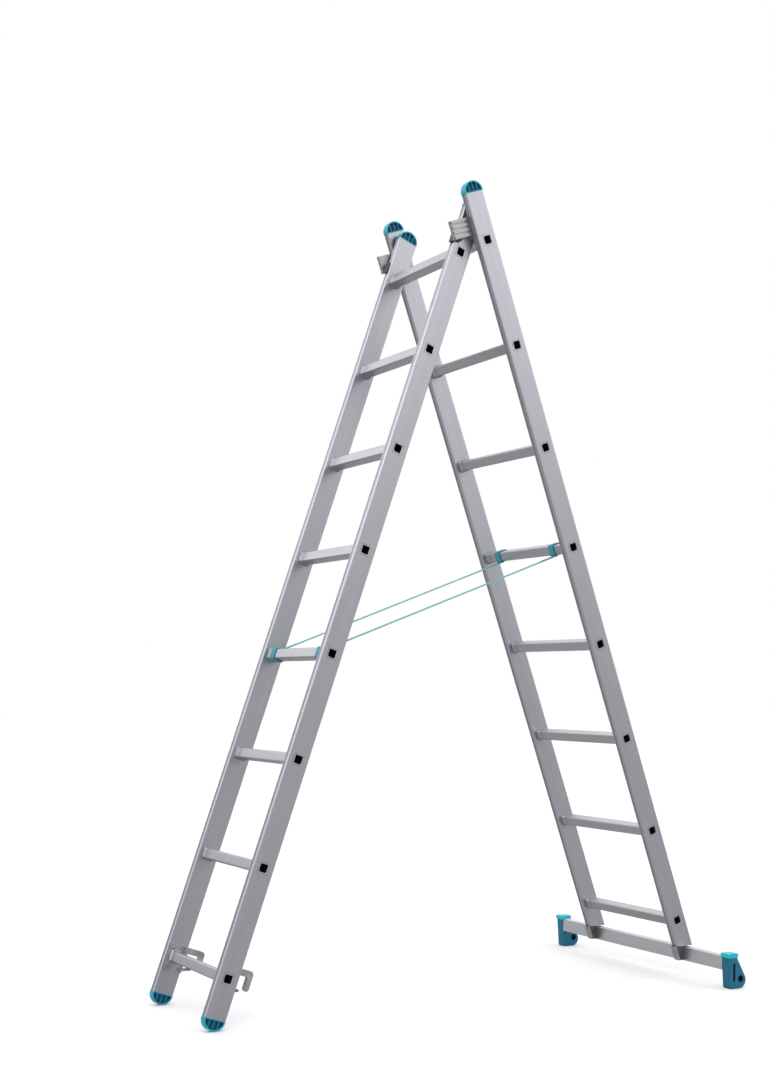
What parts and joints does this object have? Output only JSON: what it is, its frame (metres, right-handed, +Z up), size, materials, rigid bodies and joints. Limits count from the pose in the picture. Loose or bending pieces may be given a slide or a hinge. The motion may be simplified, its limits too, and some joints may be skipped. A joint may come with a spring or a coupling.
{
  "type": "extension ladder",
  "caption": "Combination extension ladder standing as an A-frame: two rung sections, guide brackets, rung hooks, straps and a stabiliser bar.",
  "frame": {"origin": "centre of the ladder's footprint box on the floor, as it stands open", "axes": "+Z up; +Y along the rungs; +X from the fly section towards the base section with the stabiliser bar"},
  "size_m": [1.5473, 0.793, 2.1532],
  "materials": {
    "stile_aluminium": "satin extruded",
    "rung_aluminium": "satin extruded",
    "bar_aluminium": "satin extruded",
    "bracket_extrusion": "satin",
    "dark_metal": "dull",
    "steel": "satin",
    "blue_plastic": "moulded",
    "grey_nylon": "moulded",
    "webbing": "woven"
  },
  "bodies": {
    "base_section": {"base_stile_near": "stile_aluminium", "base_top_cap_near": "blue_plastic", "guide_bracket_near": "bracket_extrusion", "bracket_rivet_near_front": "steel", "bracket_rivet_near_back": "steel", "base_stile_far": "stile_aluminium", "base_top_cap_far": "blue_plastic", "guide_bracket_far": "bracket_extrusion", "bracket_rivet_far_front": "steel", "bracket_rivet_far_back": "steel", "base_rung_1": "rung_aluminium", "base_rung_2": "rung_aluminium", "base_rung_3": "rung_aluminium", "base_rung_4": "rung_aluminium", "base_rung_5": "rung_aluminium", "base_rung_6": "rung_aluminium", "base_rung_7": "rung_aluminium", "base_rung_8": "rung_aluminium", "stabiliser_bar": "bar_aluminium", "bar_connector_near": "dark_metal", "bar_foot_near": "blue_plastic", "bar_connector_far": "dark_metal", "bar_foot_far": "blue_plastic", "strap_loop_base_near": "webbing", "strap_band_near": "webbing", "strap_loop_base_far": "webbing", "strap_band_far": "webbing"},
    "guide_shoes": {"guide_shoe_near": "grey_nylon", "guide_shoe_far": "grey_nylon", "strap_loop_fly_near": "webbing", "strap_loop_fly_far": "webbing"},
    "fly_section": {"fly_stile_near": "stile_aluminium", "fly_top_cap_near": "blue_plastic", "fly_foot_near": "blue_plastic", "hook_near": "bracket_extrusion", "hook_rivet_near_upper": "steel", "hook_rivet_near_lower": "steel", "fly_stile_far": "stile_aluminium", "fly_top_cap_far": "blue_plastic", "fly_foot_far": "blue_plastic", "hook_far": "bracket_extrusion", "hook_rivet_far_upper": "steel", "hook_rivet_far_lower": "steel", "fly_rung_1": "rung_aluminium", "fly_rung_2": "rung_aluminium", "fly_rung_3": "rung_aluminium", "fly_rung_4": "rung_aluminium", "fly_rung_5": "rung_aluminium", "fly_rung_6": "rung_aluminium", "fly_rung_7": "rung_aluminium", "fly_rung_8": "rung_aluminium"},
    "latch_near": {"latch_near": "steel"},
    "latch_far": {"latch_far": "steel"}
  },
  "joints": [
    {"name": "spread", "type": "hinge", "parent": "base_section", "child": "guide_shoes", "pos_m": [-0.0749, 0, 2.00943], "axis": [0, -1, 0], "range_deg": [0, 39.75], "deforming": ["strap_band_near", "strap_band_far"]},
    {"name": "extension", "type": "slide", "parent": "guide_shoes", "child": "fly_section", "axis": [0.3322, 0, 0.9432], "range_m": [0, 0.84]},
    {"name": "latch_near_swing", "type": "hinge", "parent": "fly_section", "child": "latch_near", "pos_m": [-0.70184, -0.15, 0.08914], "axis": [0, 1, 0], "range_deg": [0, 80]},
    {"name": "latch_far_swing", "type": "hinge", "parent": "fly_section", "child": "latch_far", "pos_m": [-0.70184, 0.15, 0.08914], "axis": [0, 1, 0], "range_deg": [0, 80]}
  ]
}
